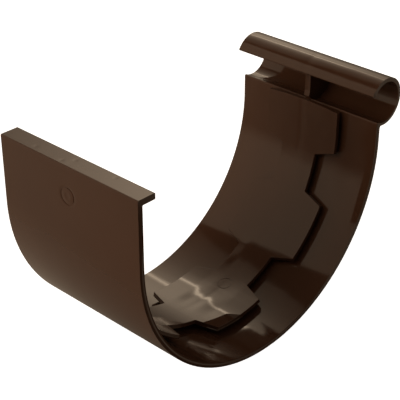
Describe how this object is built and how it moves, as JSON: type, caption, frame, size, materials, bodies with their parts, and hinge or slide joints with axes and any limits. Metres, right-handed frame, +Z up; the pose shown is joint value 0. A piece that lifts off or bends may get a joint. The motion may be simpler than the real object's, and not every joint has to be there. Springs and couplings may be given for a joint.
{
  "type": "gutter union",
  "caption": "Moulded half-round gutter union that holds gutter ends in line, with a turned-in lip at the back, a C-shaped bead socket at the front and a stepped inner tongue on a web.",
  "frame": {"origin": "on the axis of the half-round band, halfway along the gutter, where the two gutter ends meet the web", "axes": "+X along the gutter, +Y to the front with the bead socket, -Y to the back with the lip, +Z up"},
  "size_m": [0.0682, 0.1419, 0.0918],
  "materials": {
    "brown_plastic": "glossy chocolate-brown moulded PVC"
  },
  "bodies": {
    "root": {"gutter_union": "brown_plastic"}
  },
  "joints": []
}
